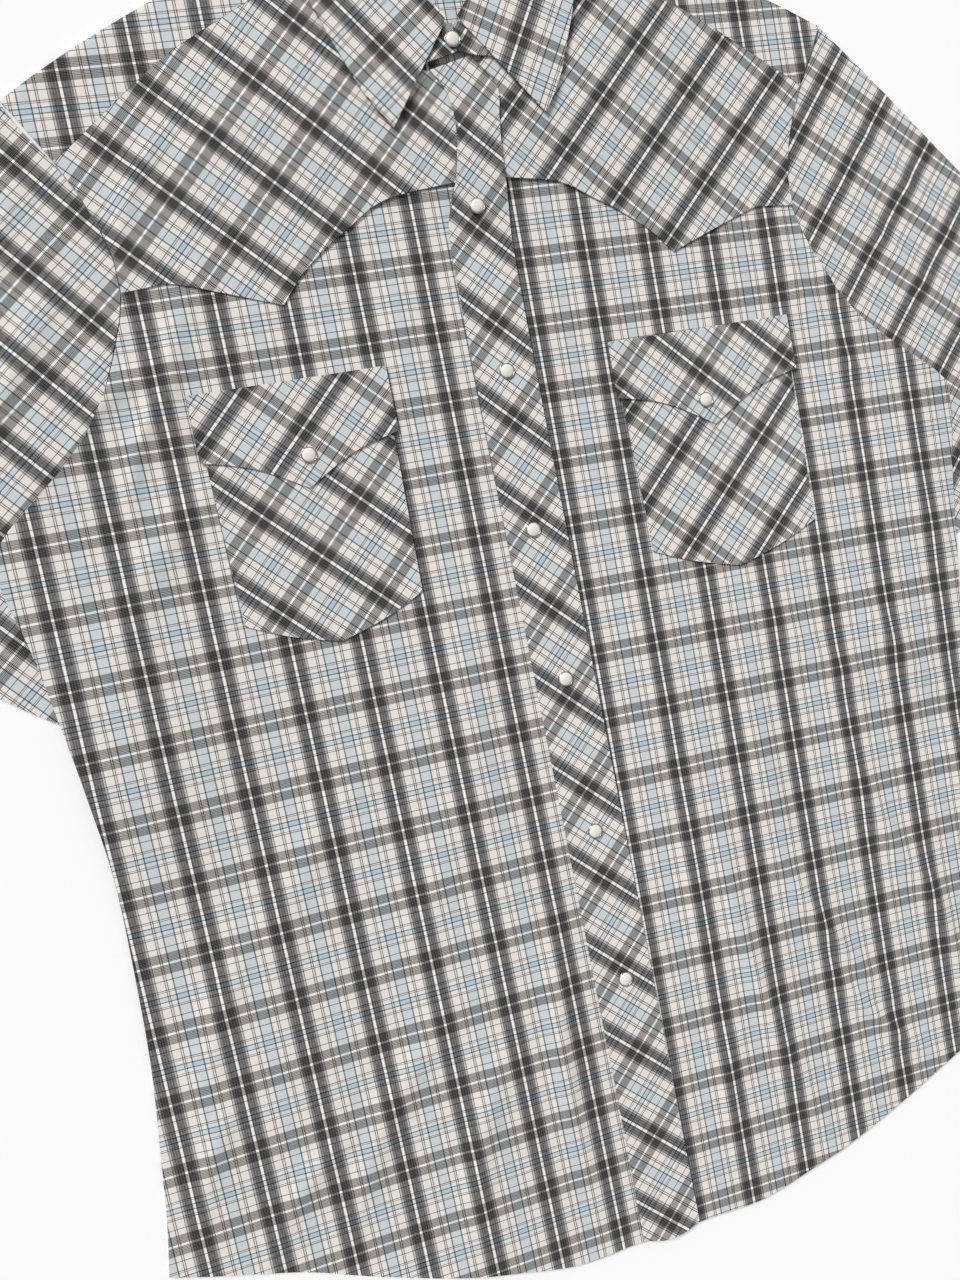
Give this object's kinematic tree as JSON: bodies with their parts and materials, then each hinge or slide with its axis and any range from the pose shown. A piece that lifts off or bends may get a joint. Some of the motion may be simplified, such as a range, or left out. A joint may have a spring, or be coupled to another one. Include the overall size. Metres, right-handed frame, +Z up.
{
  "type": "western shirt",
  "caption": "Short-sleeved plaid western shirt with pointed yokes, flap pockets, a bias placket and pearl snaps, laid flat with its front up.",
  "frame": {"origin": "middle of the laid shirt's outline, on the surface that it lies on", "axes": "+X towards the wearer's left sleeve, +Y up the shirt towards the collar, +Z up from the surface, out of the shirt's front"},
  "size_m": [0.908, 0.8933, 0.0113],
  "materials": {
    "plaid_cloth": "matt woven plaid, straight grain",
    "plaid_cloth_bias": "matt woven plaid, cut on the bias",
    "pearl": "glossy pearl",
    "snap_metal": "polished"
  },
  "bodies": {
    "root": {"front_right": "plaid_cloth", "front_left": "plaid_cloth", "back": "plaid_cloth", "front_yoke_right": "plaid_cloth_bias", "front_yoke_left": "plaid_cloth_bias", "back_yoke": "plaid_cloth", "sleeve_right": "plaid_cloth", "sleeve_left": "plaid_cloth", "placket": "plaid_cloth_bias", "pocket_right": "plaid_cloth_bias", "flap_right": "plaid_cloth_bias", "pocket_left": "plaid_cloth_bias", "flap_left": "plaid_cloth_bias", "collar_leaf": "plaid_cloth_bias", "collar_stand": "plaid_cloth_bias", "snap_front_1_cap": "pearl", "snap_front_1_ring": "snap_metal", "snap_front_2_cap": "pearl", "snap_front_2_ring": "snap_metal", "snap_front_3_cap": "pearl", "snap_front_3_ring": "snap_metal", "snap_front_4_cap": "pearl", "snap_front_4_ring": "snap_metal", "snap_front_5_cap": "pearl", "snap_front_5_ring": "snap_metal", "snap_front_6_cap": "pearl", "snap_front_6_ring": "snap_metal", "snap_neck_cap": "pearl", "snap_neck_ring": "snap_metal", "snap_pocket_right_cap": "pearl", "snap_pocket_right_ring": "snap_metal", "snap_pocket_left_cap": "pearl", "snap_pocket_left_ring": "snap_metal"}
  },
  "joints": []
}
